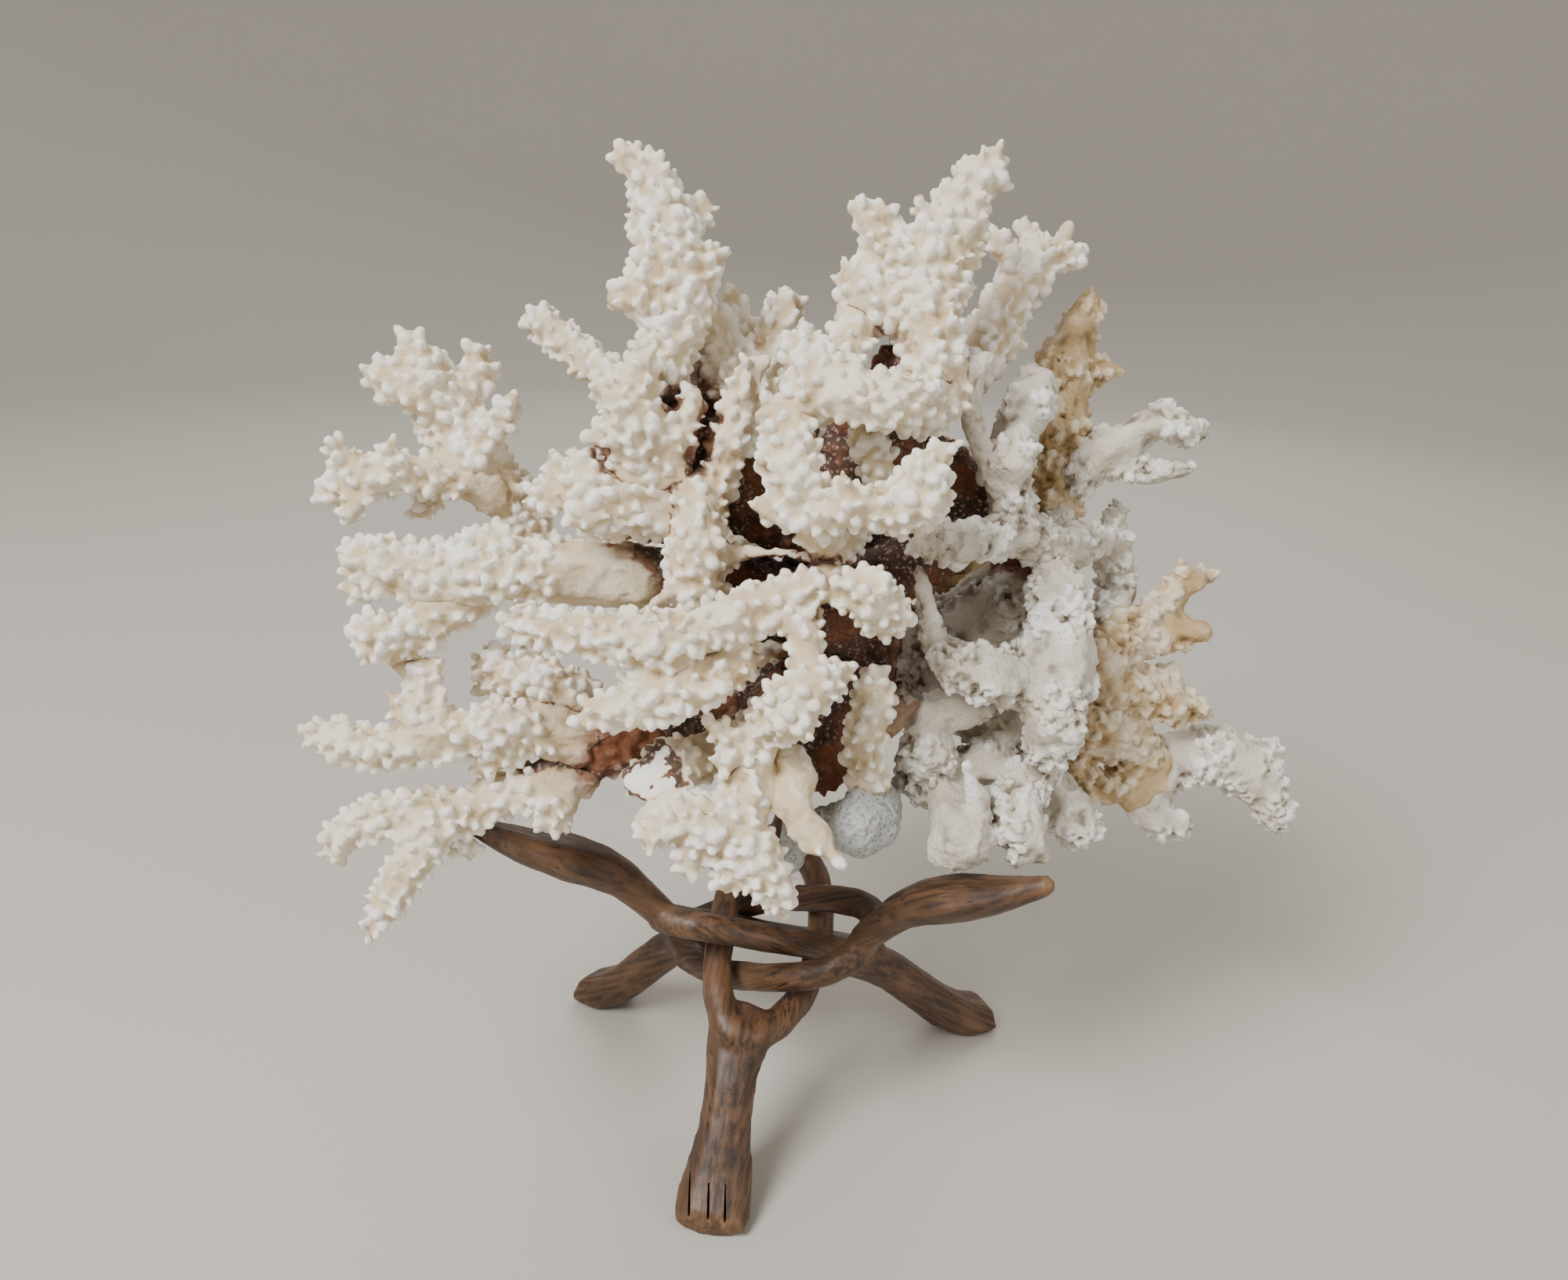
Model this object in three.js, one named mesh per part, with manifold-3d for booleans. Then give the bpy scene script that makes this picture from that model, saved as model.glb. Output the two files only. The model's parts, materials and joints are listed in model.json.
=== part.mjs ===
// A branching stony coral, one bleached colony, resting on a stand of three interlocked carved wooden legs.
// Millimetres, +Z up, seen in front from -Y. The stand's axis is x = y = 0 until the last step.
import * as THREE from 'three';
import { mergeVertices } from 'three/addons/utils/BufferGeometryUtils.js';
import Module from 'manifold-3d';

const wasm = await Module();
wasm.setup();

// Driving dimensions of the stand
const LEGS = {
  leg_front: { azimuth: 82.8, reach: 54, toeSwing: 4.5, forkSwing: 3.5 },
  leg_back_left: { azimuth: -37.2, reach: 63, toeSwing: -2, forkSwing: 0 },
  leg_back_right: { azimuth: 202.8, reach: 69, toeSwing: -5.5, forkSwing: 0 },
};
const LEG_SIDES = 6;
const SLOT_CENTRE = 2;
const SLOT_FOOT_LENGTH = 31;
const SLOT_HEAD_LENGTH = 26.5;
const SLOT_HALF_WIDTH = 12;
const SLOT_FOOT_SQUARENESS = 1.1;
const SLOT_HEAD_SQUARENESS = 0.72;
const STRAND_RADIUS = 3.4;
const STRAND_FORK_RADIUS = 4.2;
const STRAND_FORK_SHARE = 0.3;
const SLOT_PLANE_HEIGHT = 44.5;
const SLOT_PLANE_RISE = 0.38;
const SLOT_PLANE_LEAN = 0.48;
const WOOD_COLOUR = '#5b3420';

// Stations of a foot: [share of the way from fork to toe, height, half width, half thickness]
const FORK_TO_AXIS = 28;
const TOE_CUT = 0.6;
const FOOT_STATIONS = [
  [1, 2.2, 8.2, 3.8],
  [0.78, 4.4, 9.2, 5.6],
  [0.53, 12.5, 7, 5.4],
  [0.27, 23, 5.2, 5.1],
  [0, 31.5, 7.6, 5.2],
  [-0.26, 36.5, 7.6, 3.4],
];

// Stations of a head: [distance from the axis, height, half width, half thickness]
const HEAD_STATIONS = [
  [28, 56, 4.8, 3.4],
  [34, 63, 4.2, 3.9],
  [40, 69.5, 5, 4.5],
  [48, 74.5, 8, 5.2],
  [59, 79.5, 6.8, 4.2],
  [73, 88, 1.8, 1.8],
];

// Driving dimensions of the coral
const LIMB_SIDES = 6;
const KNOB_SIDES = 5;
const RINGS_PER_POINT = 1;
const FEWEST_RINGS = 3;
const LUMP = 0.14;
const END_CAP = 0.8;
const GAP = 1.0;
const SEAM_TOLERANCE = 0.35;
const FORK_TOLERANCE = 1;
const FINISHES = {
  bloom: { color: '#ece3d2', roughness: 0.85 },
  stained: { color: '#7a4a36', roughness: 0.8 },
  chalk: { color: '#d9d3c8', roughness: 0.95 },
  ochre: { color: '#c2a579', roughness: 0.9 },
};

// Branches of the colony, split at the main forks. Each limb is a list of [x, y, z, radius].
const BRANCHES = {
  trunk: {
    finish: 'stained',
    limbs: [
      [[24, 34, 92, 12], [22, 26, 108, 14], [16, 16, 126, 14], [12, 10, 146, 12]],
    ],
  },
  bough_top: {
    finish: 'stained',
    limbs: [
      [[12, 8, 150, 11], [15, 2, 166, 10], [21, -4, 180, 9], [26, -8, 190, 8]],
      [[15, 4, 164, 9], [27, 3, 168, 9], [42, 5, 158, 9], [55, 9, 148, 8]],
    ],
  },
  bough_top_left: {
    finish: 'stained',
    limbs: [
      [[10, 8, 148, 10], [-6, 2, 156, 9], [-20, -4, 164, 8.5], [-30, -8, 172, 7.5]],
    ],
  },
  bough_left: {
    finish: 'stained',
    limbs: [
      [[12, 14, 128, 11], [-6, 4, 134, 10], [-22, -4, 140, 9]],
    ],
  },
  bough_front: {
    finish: 'stained',
    limbs: [
      [[14, 8, 128, 12], [10, -8, 134, 10], [3, -22, 140, 8]],
      [[16, 12, 112, 11], [8, -2, 112, 10], [0, -14, 113, 8]],
      [[17, 12, 108, 10], [13, -4, 100, 8], [10, -10, 94, 6]],
      [[14, 6, 134, 10], [26, 0, 142, 8], [38, 4, 148, 7]],
    ],
  },
  bough_low_left: {
    finish: 'stained',
    limbs: [
      [
        [10, 8, 108, 10], [-8, 0, 107, 9.7], [-21, -8, 108, 9], [-33, -14, 105, 8.5],
        [-43, -18, 103, 7.8],
      ],
    ],
  },
  bough_right: {
    finish: 'chalk',
    limbs: [
      [[26, 22, 112, 12], [42, 14, 122, 11], [54, 8, 136, 10], [62, 10, 150, 8]],
      [[36, 16, 114, 10], [46, 2, 108, 9], [56, -6, 106, 7]],
    ],
  },
  spire_left: {
    finish: 'bloom',
    limbs: [
      [
        [-32, -8, 174, 7], [-28, -8, 187, 7.3], [-24, -6, 198, 7.5], [-27, -5, 208, 8.8],
        [-29, -4, 218, 6.8], [-31, -3, 225, 5.1], [-37, -2, 229, 3.2],
      ],
      [[-25, 0, 215, 4.3], [-19, 4, 219, 3.3]],
      [[-31, -10, 202, 5.5], [-38, -10, 200, 3.2]],
      [[-21, -8, 206, 5.5], [-16, -4, 210, 2.9]],
    ],
  },
  finger_left_back: {
    finish: 'bloom',
    limbs: [
      [
        [-27, -1, 172, 5], [-33, 10, 178, 5], [-45, 18, 182, 4.5], [-55, 26, 188, 4.8],
        [-62, 30, 192, 4.5],
      ],
    ],
  },
  bush_left: {
    finish: 'bloom',
    limbs: [
      [[-29, -14, 166, 7.6], [-33, -20, 176, 7], [-32, -20, 185, 5.4], [-29, -20, 192, 2.8]],
      [[-33, -20, 180, 5.4], [-40, -18, 185, 2.9]],
      [[-32, -20, 173, 6.1], [-40, -20, 175, 2.9]],
      [[-27, -16, 168, 6.6], [-22, -18, 177, 4.2], [-20, -16, 183, 2.9]],
    ],
  },
  shoulder_left: {
    finish: 'bloom',
    limbs: [
      [[-24, -12, 157, 7.8], [-35, -16, 160, 8.3], [-44, -18, 162, 5.9], [-54, -16, 160, 3.6]],
      [[-40, -20, 164, 5.2], [-44, -20, 170, 2.9]],
      [[-47, -16, 162, 4], [-50, -14, 169, 2.3]],
      [[-40, -22, 159, 5.2], [-43, -24, 156, 3.6]],
    ],
  },
  club_left: {
    finish: 'bloom',
    limbs: [
      [
        [-25, -6, 140, 8.1], [-34, -12, 142, 8.9], [-45, -16, 143, 7.8], [-56, -18, 144, 7.1],
        [-65, -20, 144, 7.3], [-76, -21, 144, 6.6], [-84, -22, 145, 7.3], [-91, -22, 145, 6],
      ],
      [[-90, -24, 141, 4.6], [-92, -24, 140, 3]],
      [[-60, -20, 151, 4.3], [-67, -20, 151, 3]],
    ],
  },
  knob_left: {
    finish: 'bloom',
    limbs: [
      [[-67, -20, 138, 5], [-73, -24, 135, 5.7], [-79, -26, 131, 5], [-87, -28, 131, 6.6]],
    ],
  },
  antler: {
    finish: 'bloom',
    limbs: [
      [
        [-26, 2, 138, 5], [-42, 6, 138, 4.8], [-55, 4, 142, 4.7], [-62, 4, 153, 6.1],
        [-69, 4, 162, 7.1], [-75, 4, 172, 8.4], [-80, 2, 181, 6.9], [-84, 2, 190, 3.4],
      ],
      [[-79, 0, 178, 6.2], [-87, -2, 181, 5.1], [-91, -2, 183, 3.4]],
      [[-75, 5, 174, 5.9], [-69, 7, 184, 4.2], [-71, 7, 188, 2.4]],
      [[-71, 0, 161, 4.5], [-65, -2, 171, 3.8], [-60, -2, 178, 2.7]],
    ],
  },
  arm_left: {
    finish: 'bloom',
    limbs: [
      [
        [-64, 0, 157, 5.3], [-74, -3, 161, 5.2], [-82, -5, 161, 4.5], [-90, -6, 160, 4.8],
        [-98, -6, 158, 4.1], [-104, -6, 155, 2.4],
      ],
      [[-93, -6, 162, 4.4], [-97, -7, 165, 3.4], [-99, -8, 169, 2]],
      [[-94, -7, 157, 4.1], [-96, -8, 151, 2.8]],
      [[-85, -8, 164, 3.7], [-87, -8, 169, 2]],
      [[-79, -2, 160, 4], [-81, 3, 154, 3.5], [-86, 6, 149, 2.2]],
    ],
  },
  fist_left: {
    finish: 'bloom',
    limbs: [
      [[-43, -14, 114, 5.3], [-51, -18, 119, 6.2], [-59, -18, 120, 5.9], [-66, -16, 122, 4.2]],
      [[-60, -18, 117, 4.2], [-67, -16, 116, 2.8]],
    ],
  },
  finger_long: {
    finish: 'bloom',
    limbs: [
      [
        [1, -30, 145, 6.1], [-8, -36, 142, 6], [-17, -40, 140, 5.3], [-26, -42, 138, 5.9],
        [-35, -42, 138, 5.3], [-47, -40, 139, 4.4], [-56, -38, 139, 2.8],
      ],
      [[-48, -40, 140, 3.7], [-53, -40, 144, 1.9]],
      [[-49, -38, 136, 3.5], [-54, -36, 133, 1.9]],
      [[-21, -40, 135, 4.4], [-31, -40, 129, 2.8]],
      [[0, -31, 145, 5.6], [8, -32, 148, 4.6], [14, -34, 147, 3.6]],
      [[1, -32, 143, 5.6], [5, -37, 138, 4.8], [4, -38, 133, 3]],
    ],
  },
  hook_left: {
    finish: 'bloom',
    limbs: [
      [[-74, -30, 111, 4.7], [-75, -28, 117, 4.7], [-75, -26, 123, 3.7], [-72, -26, 126, 1.7]],
      [[-75, -30, 115, 4], [-82, -29, 116, 2.7], [-84, -28, 120, 1.7]],
      [[-76, -26, 121, 3], [-82, -26, 124, 2]],
    ],
  },
  arm_low: {
    finish: 'bloom',
    limbs: [
      [
        [-41, -18, 105, 7.4], [-50, -24, 109, 6.2], [-60, -28, 112, 6.1], [-67, -30, 111, 5.7],
        [-77, -32, 109, 5.3], [-85, -34, 108, 5], [-93, -34, 110, 5], [-99, -34, 111, 3.3],
      ],
      [[-58, -28, 107, 4.8], [-65, -28, 102, 3.4]],
    ],
  },
  claw_low: {
    finish: 'bloom',
    limbs: [
      [
        [-43, -20, 98, 6.3], [-52, -26, 97, 5.9], [-60, -28, 95, 4.8], [-68, -31, 92, 5.5],
        [-77, -34, 94, 5.7], [-87, -36, 93, 5], [-95, -36, 87, 3.7], [-95, -36, 81, 2],
      ],
      [[-73, -36, 91, 5.4], [-78, -40, 84, 5], [-82, -44, 76, 4.3], [-85, -46, 71, 3]],
      [[-47, -28, 95, 5.9], [-50, -30, 88, 3.1]],
      [[-69, -30, 87, 4.1], [-67, -30, 81, 2.4]],
    ],
  },
  finger_cross: {
    finish: 'bloom',
    limbs: [
      [
        [-7, -34, 132, 5.2], [-14, -40, 129, 5.1], [-22, -44, 127, 5.3], [-30, -46, 125, 5],
        [-37, -46, 124, 3.7], [-41, -46, 119, 1.6],
      ],
    ],
  },
  stub_cut: {
    finish: 'bloom',
    limbs: [
      [
        [-9, -6, 106, 7], [-11, -18, 105, 6.7], [-18, -30, 107, 6.1], [-25, -40, 108, 5.9],
        [-31, -44, 107, 3.2],
      ],
    ],
  },
  cluster_front: {
    finish: 'bloom',
    limbs: [
      [
        [1, -14, 114, 6.5], [-5, -28, 112, 6.4], [-6, -38, 105, 6.9], [-9, -44, 99, 7.5],
        [-5, -47, 93, 7.4], [0, -47, 86, 5.2], [3, -47, 81, 3],
      ],
      [[-11, -46, 99, 6.4], [-20, -46, 102, 5.8], [-28, -46, 99, 2.9]],
      [[-22, -48, 102, 4.8], [-26, -50, 96, 2.5]],
      [[-16, -48, 97, 5.1], [-18, -50, 90, 2.6]],
      [[-7, -48, 92, 5.8], [-10, -49, 87, 2.9]],
    ],
  },
  bush_low: {
    finish: 'bloom',
    limbs: [
      [
        [-7, -32, 109, 5], [-3, -38, 119, 5.8], [2, -43, 126, 6.6], [7, -43, 130, 5.3],
        [13, -36, 131, 3.5],
      ],
      [[2, -44, 125, 6.3], [6, -46, 122, 3.8]],
      [[-7, -36, 112, 4.9], [-12, -42, 112, 2.9]],
      [[-7, -36, 114, 3.9], [-14, -42, 120, 2.2]],
      [[1, -42, 126, 5.7], [5, -42, 133, 3.1]],
    ],
  },
  finger_drop: {
    finish: 'bloom',
    limbs: [
      [[2, -30, 110, 4.7], [5, -38, 107, 5.2], [4, -42, 102, 4.6], [9, -46, 97, 4.2], [13, -48, 94, 2.3]],
    ],
  },
  finger_mid: {
    finish: 'bloom',
    limbs: [
      [
        [21, -22, 98, 4.6], [19, -25, 107, 5.1], [19, -26, 115, 5.1], [20, -24, 122, 6.1],
        [21, -22, 126, 3.7],
      ],
    ],
  },
  column_mid: {
    finish: 'bloom',
    limbs: [
      [
        [-3, -17, 136, 6], [-12, -20, 136, 5.4], [-18, -24, 143, 6.9], [-19, -24, 151, 7.2],
        [-18, -20, 159, 6.2], [-15, -14, 166, 4.6],
      ],
      [[-19, -20, 158, 5.6], [-23, -16, 165, 3.6]],
      [[-15, -14, 165, 5], [-12, -15, 174, 5.2], [-10, -14, 183, 4.4], [-8, -13, 190, 2.8]],
      [[-17, -18, 147, 5.7], [-9, -20, 151, 2.3], [1, -24, 152, 1.5], [13, -30, 151, 1.1]],
      [[-22, -26, 145, 2.3], [-26, -32, 143, 1.6], [-29, -37, 142, 1.1]],
    ],
  },
  candelabra: {
    finish: 'bloom',
    limbs: [
      [
        [12, -10, 150, 6], [9, -26, 155, 4.2], [4, -36, 164, 5.5], [1, -36, 172, 6.4],
        [-1, -33, 179, 5.5], [-5, -32, 181, 2.7],
      ],
      [[10, -22, 154, 4.5], [18, -19, 160, 4.4], [19, -20, 169, 4.8], [15, -22, 178, 4.1]],
      [[2, -38, 163, 4.6], [-6, -36, 165, 3.1]],
      [[-1, -36, 172, 4.6], [-6, -36, 174, 2.4]],
      [[5, -38, 164, 4.6], [14, -39, 166, 4.5], [23, -38, 166, 5.2]],
      [[12, -41, 167, 3.3], [10, -42, 174, 1.9]],
      [[22, -30, 161, 5], [26, -38, 169, 6.7], [27, -39, 175, 4.2], [32, -36, 179, 1.8]],
    ],
  },
  bush_top: {
    finish: 'bloom',
    limbs: [
      [
        [28, -20, 183, 6.4], [20, -32, 185, 6.4], [12, -34, 187, 5.7], [5, -30, 188, 6.1],
        [1, -22, 194, 5.3],
      ],
      [[18, -36, 185, 5.1], [18, -38, 181, 2.4]],
      [[5, -30, 186, 5.2], [-4, -30, 182, 3.1]],
      [[7, -28, 189, 5.2], [12, -18, 196, 4.7], [10, -12, 200, 2.9]],
    ],
  },
  piece_mid: {
    finish: 'bloom',
    limbs: [
      [
        [19, -4, 139, 6], [20, -18, 141, 5.2], [20, -36, 143, 6], [16, -41, 150, 5.8],
        [11, -41, 151, 3.4],
      ],
      [[17, -40, 147, 5.3], [22, -38, 150, 2.5]],
    ],
  },
  spire_right: {
    finish: 'bloom',
    limbs: [
      [
        [29, -18, 182, 6.7], [27, -18, 193, 6.9], [27, -14, 201, 7.6], [28, -10, 209, 8],
        [31, -8, 216, 7], [33, -6, 223, 5.4], [36, -5, 228, 4.7], [40, -4, 232, 2.8],
      ],
      [[22, -14, 201, 6.3], [14, -14, 204, 5.7], [10, -12, 208, 3.8]],
      [[21, -12, 211, 5.4], [16, -12, 215, 3.8], [17, -12, 221, 2.5]],
      [[16, -12, 214, 3.8], [11, -12, 221, 2.2]],
      [[26, -10, 215, 4.4], [24, -10, 222, 2.2]],
      [[35, -6, 225, 4.4], [41, -4, 227, 2.8]],
    ],
  },
  knobs_top_back: {
    finish: 'bloom',
    limbs: [
      [[2, 0, 170, 6], [-8, 2, 183, 4.5], [-5, 8, 192, 4.1], [-1, 12, 200, 4.2]],
      [[-10, 4, 186, 3.8], [-13, 10, 194, 3.5], [-15, 12, 202, 2.8]],
      [[-5, 1, 169, 7.5], [-13, 3, 177, 7.5], [-17, 4, 187, 6.5], [-18, 5, 197, 4.5]],
    ],
  },
  branch_right_back: {
    finish: 'bloom',
    limbs: [
      [
        [26, 0, 182, 8], [39, 8, 187, 7], [45, 14, 196, 6.3], [50, 20, 205, 6], [55, 22, 211, 5.3],
        [62, 24, 211, 3.2], [67, 24, 209, 1.8],
      ],
      [[52, 22, 211, 4.2], [50, 22, 219, 2.1]],
      [[59, 24, 212, 3.6], [61, 24, 219, 1.8]],
      [[50, 18, 207, 4.6], [43, 16, 215, 3.1]],
      [[43, 8, 192, 5.9], [50, 12, 194, 3.1]],
    ],
  },
  blade_right: {
    finish: 'ochre',
    limbs: [
      [
        [63, 16, 153, 6.7], [63, 20, 165, 8.2], [63, 24, 177, 7.4], [64, 26, 187, 7],
        [66, 28, 196, 4.8], [69, 28, 202, 2.6],
      ],
      [[67, 28, 184, 5.2], [77, 28, 186, 2.2]],
    ],
  },
  fist_right: {
    finish: 'chalk',
    limbs: [
      [
        [52, 2, 150, 6], [48, -8, 161, 4.8], [47, -14, 170, 5.6], [49, -4, 176, 5.4], [52, 0, 181, 6.5],
        [54, 2, 186, 5.1],
      ],
    ],
  },
  rod_right: {
    finish: 'chalk',
    limbs: [
      [
        [47, -8, 164, 4.1], [41, -12, 172, 3], [37, -14, 181, 2.8], [36, -16, 190, 3.5],
        [40, -16, 193, 2.2],
      ],
    ],
  },
  hook_right: {
    finish: 'chalk',
    limbs: [
      [
        [66, 14, 160, 5.1], [71, 14, 168, 5.4], [78, 14, 172, 5.1], [84, 12, 177, 5],
        [89, 10, 175, 4.6], [94, 10, 174, 2.1],
      ],
      [[76, 14, 167, 4.7], [83, 13, 164, 3.3], [91, 11, 166, 2.9]],
    ],
  },
  ridge_right: {
    finish: 'chalk',
    limbs: [
      [
        [29, -18, 154, 4.3], [39, -18, 154, 4.6], [49, -10, 155, 5.4], [62, 0, 149, 5],
        [78, 18, 146, 4.5], [80, 26, 153, 2.7],
      ],
      [[78, 18, 146, 4.5], [82, 20, 135, 5], [76, 12, 126, 5.7]],
    ],
  },
  antler_right: {
    finish: 'ochre',
    limbs: [
      [
        [69, -6, 123, 6.4], [82, 6, 126, 6.3], [91, 10, 134, 4.5], [95, 12, 140, 4.8],
        [101, 12, 140, 2.2],
      ],
      [[83, 6, 126, 5.9], [93, 7, 128, 4.5], [100, 6, 129, 3]],
      [[74, 0, 117, 6.6], [87, 4, 112, 6.4], [95, 3, 111, 4.9], [102, 2, 110, 2.2]],
      [[86, 5, 115, 4.9], [95, 6, 117, 2.6]],
    ],
  },
  mass_right: {
    finish: 'chalk',
    limbs: [
      [
        [60, -4, 147, 4.6], [61, -14, 138, 7.9], [60, -20, 128, 8.2], [60, -24, 118, 7.8],
        [60, -20, 107, 5.9],
      ],
      [[60, -16, 135, 6.8], [55, -14, 144, 3.4]],
    ],
  },
  fist_low_right: {
    finish: 'chalk',
    limbs: [
      [
        [59, -14, 120, 6.3], [45, -24, 127, 6.4], [38, -23, 128, 6.1], [33, -18, 132, 3.1],
        [30, -16, 141, 2.4], [29, -14, 147, 2.4],
      ],
    ],
  },
  web_right: {
    finish: 'ochre',
    limbs: [
      [[68, -6, 109, 6.9], [82, 2, 102, 7.1], [91, 5, 92, 6.9]],
      [[68, -6, 98, 3.3], [77, -2, 91, 3.4], [88, 2, 88, 5]],
    ],
  },
  horn_right: {
    finish: 'chalk',
    limbs: [
      [
        [89, 4, 88, 6.5], [97, 6, 95, 7.3], [108, 6, 97, 8], [116, 4, 93, 8], [121, 2, 86, 5.4],
        [123, 0, 80, 2.3],
      ],
      [[116, 8, 98, 4.6], [122, 8, 98, 2.7]],
      [[88, 0, 85, 5.3], [95, -2, 82, 4.6], [101, -2, 81, 2.3]],
    ],
  },
  lump_grey: {
    finish: 'chalk',
    limbs: [
      [[45, -14, 115, 4.2], [35, -14, 114, 5.6], [31, -14, 104, 7.5], [37, -17, 105, 6.7]],
      [[32, -12, 96, 6.9], [43, -12, 98, 6.1], [54, -10, 102, 5.4]],
    ],
  },
  ball_grey: {
    finish: 'chalk',
    limbs: [
      [[24, -17, 93, 6.5], [21.5, -26, 92.5, 8.2], [18, -29, 92, 9.2], [14, -28, 92, 6.8]],
      [[20, -22, 92, 5], [5, -16, 83, 5.1], [4, -18, 74, 3.6]],
    ],
  },
  lump_rest: {
    finish: 'chalk',
    limbs: [
      [[39, -16, 95, 5], [41, -30, 92, 7.9], [40, -32, 88, 7.2]],
      [[44, -28, 95, 4.1], [44, -29, 101, 2.6], [41, -30, 107, 1]],
      [[38, -30, 89, 5.2], [35, -32, 86, 2.7]],
    ],
  },
  lump_rest_right: {
    finish: 'chalk',
    limbs: [
      [[61, -14, 100, 4.7], [53, -22, 97, 6.3], [54, -28, 92, 6.9], [59, -31, 87, 3.4]],
      [[56, -30, 90, 5.9], [53, -32, 86, 2.7]],
      [[61, -13, 98, 4.6], [66, -10, 94, 4], [68, -14, 90, 6.5], [72, -14, 85, 5.1]],
    ],
  },
  back_spire: {
    finish: 'bloom',
    limbs: [
      [[12, 20, 150, 10], [6, 38, 166, 8], [2, 50, 178, 7.5], [-2, 56, 189, 6], [-6, 58, 196, 3]],
      [[4, 46, 174, 6], [14, 56, 184, 4.5], [20, 62, 192, 2.5]],
      [[2, 50, 180, 6], [-12, 58, 180, 3]],
    ],
  },
  back_arm_left: {
    finish: 'bloom',
    limbs: [
      [
        [-8, 16, 136, 8], [-26, 36, 138, 7.5], [-44, 48, 138, 6.5], [-56, 54, 142, 5],
        [-64, 58, 146, 2.5],
      ],
      [[-40, 46, 138, 6], [-52, 62, 132, 4.5], [-58, 70, 126, 2.5]],
      [[-32, 40, 140, 6], [-32, 50, 152, 3]],
    ],
  },
  back_bush: {
    finish: 'bloom',
    limbs: [
      [[16, 30, 132, 10], [14, 54, 136, 8.5], [10, 70, 142, 7], [6, 78, 152, 3.5]],
      [[12, 60, 138, 7], [26, 74, 142, 5], [32, 80, 150, 2.5]],
      [[12, 64, 140, 6], [-4, 76, 136, 3]],
    ],
  },
  back_arm_right: {
    finish: 'ochre',
    limbs: [
      [[36, 28, 134, 9], [56, 44, 142, 7.5], [68, 54, 152, 6.5], [78, 60, 164, 3]],
      [[60, 47, 145, 6], [80, 52, 138, 4.5], [90, 52, 134, 2.5]],
      [[64, 50, 148, 5], [60, 58, 160, 2.5]],
    ],
  },
  back_low_left: {
    finish: 'bloom',
    limbs: [
      [[2, 24, 108, 9], [-18, 42, 106, 7.5], [-34, 54, 104, 6.5], [-50, 60, 108, 3]],
      [[-24, 46, 105, 6], [-30, 58, 94, 4], [-32, 62, 86, 2.5]],
      [[-28, 50, 106, 5], [-40, 48, 114, 3]],
    ],
  },
  back_low: {
    finish: 'chalk',
    limbs: [
      [[22, 36, 104, 11], [18, 52, 98, 9], [11, 64, 94, 7], [6, 76, 98, 3.5]],
      [[14, 60, 97, 6], [24, 72, 102, 3]],
    ],
  },
  back_low_right: {
    finish: 'ochre',
    limbs: [
      [[36, 34, 104, 10], [54, 46, 100, 8], [70, 54, 98, 6.5], [84, 58, 104, 3]],
      [[58, 48, 100, 6], [66, 60, 90, 3]],
      [[64, 50, 100, 5], [72, 44, 110, 3]],
    ],
  },
};

// A repeatable number from 0 to 1 for each lump
function lumpAt(row, column, seed) {
  const wave = Math.sin(row * 12.9898 + column * 78.233 + seed * 37.719) * 43758.5453;
  return wave - Math.floor(wave);
}

// The value at t of a list read as evenly spaced stations
function stationValue(values, t) {
  const place = t * (values.length - 1);
  const index = Math.min(Math.floor(place), values.length - 2);
  return THREE.MathUtils.lerp(values[index], values[index + 1], place - index);
}

// The unit axis that a direction runs along the least
function leastAxis(direction) {
  const sizes = direction.toArray().map(Math.abs);
  const least = sizes.indexOf(Math.min(...sizes));
  return new THREE.Vector3().setComponent(least, 1);
}

// A sphere drawn out along a curve: its rows become rings and its poles the two ends.
// section(t, row) gives the ring's half width along the side and half thickness across it.
function sweptSphere(curve, sides, rings, side, section, lump = () => 1) {
  const geometry = new THREE.SphereGeometry(1, sides, rings);
  const positions = geometry.getAttribute('position');
  for (let vertex = 0; vertex < positions.count; vertex += 1) {
    const row = Math.floor(vertex / (sides + 1));
    const column = vertex % (sides + 1) % sides;
    const t = THREE.MathUtils.clamp((row - 1) / (rings - 2), 0, 1);
    const point = curve.getPoint(t);
    const tangent = curve.getTangent(t);
    const [halfWidth, halfThickness] = section(t);
    if (row === 0 || row === rings) {
      const outward = row === 0 ? -1 : 1;
      point.addScaledVector(tangent, outward * END_CAP * Math.min(halfWidth, halfThickness));
    } else {
      const across = new THREE.Vector3().crossVectors(side, tangent).normalize();
      const along = new THREE.Vector3().crossVectors(tangent, across);
      const angle = (2 * Math.PI * column) / sides;
      const swell = lump(row, column);
      point.addScaledVector(along, swell * halfWidth * Math.cos(angle));
      point.addScaledVector(across, swell * halfThickness * Math.sin(angle));
    }
    positions.setXYZ(vertex, point.x, point.y, point.z);
  }
  return solidOf(geometry);
}

// A closed geometry as a solid, turned the right way out
function solidOf(geometry) {
  geometry.deleteAttribute('normal');
  geometry.deleteAttribute('uv');
  const merged = mergeVertices(geometry, 1e-4);
  const vertProperties = new Float32Array(merged.getAttribute('position').array);
  const triVerts = new Uint32Array(merged.index.array);
  const solid = new wasm.Manifold(new wasm.Mesh({ numProp: 3, vertProperties, triVerts }));
  if (solid.volume() > 0) return solid;
  const turned = triVerts.map((_, i) => triVerts[i - (i % 3) + (2 - (i % 3))]);
  return new wasm.Manifold(new wasm.Mesh({ numProp: 3, vertProperties, triVerts: turned }));
}

function unionOf(solids) {
  return solids.reduce((whole, solid) => whole.add(solid));
}

function largestBody(solid) {
  return solid.decompose().reduce((best, body) => (body.volume() > best.volume() ? body : best));
}

function geometryOf(solid) {
  const mesh = solid.getMesh();
  const geometry = new THREE.BufferGeometry();
  geometry.setAttribute('position', new THREE.BufferAttribute(mesh.vertProperties, 3));
  geometry.setIndex(new THREE.BufferAttribute(mesh.triVerts, 1));
  geometry.computeVertexNormals();
  return geometry;
}

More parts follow.
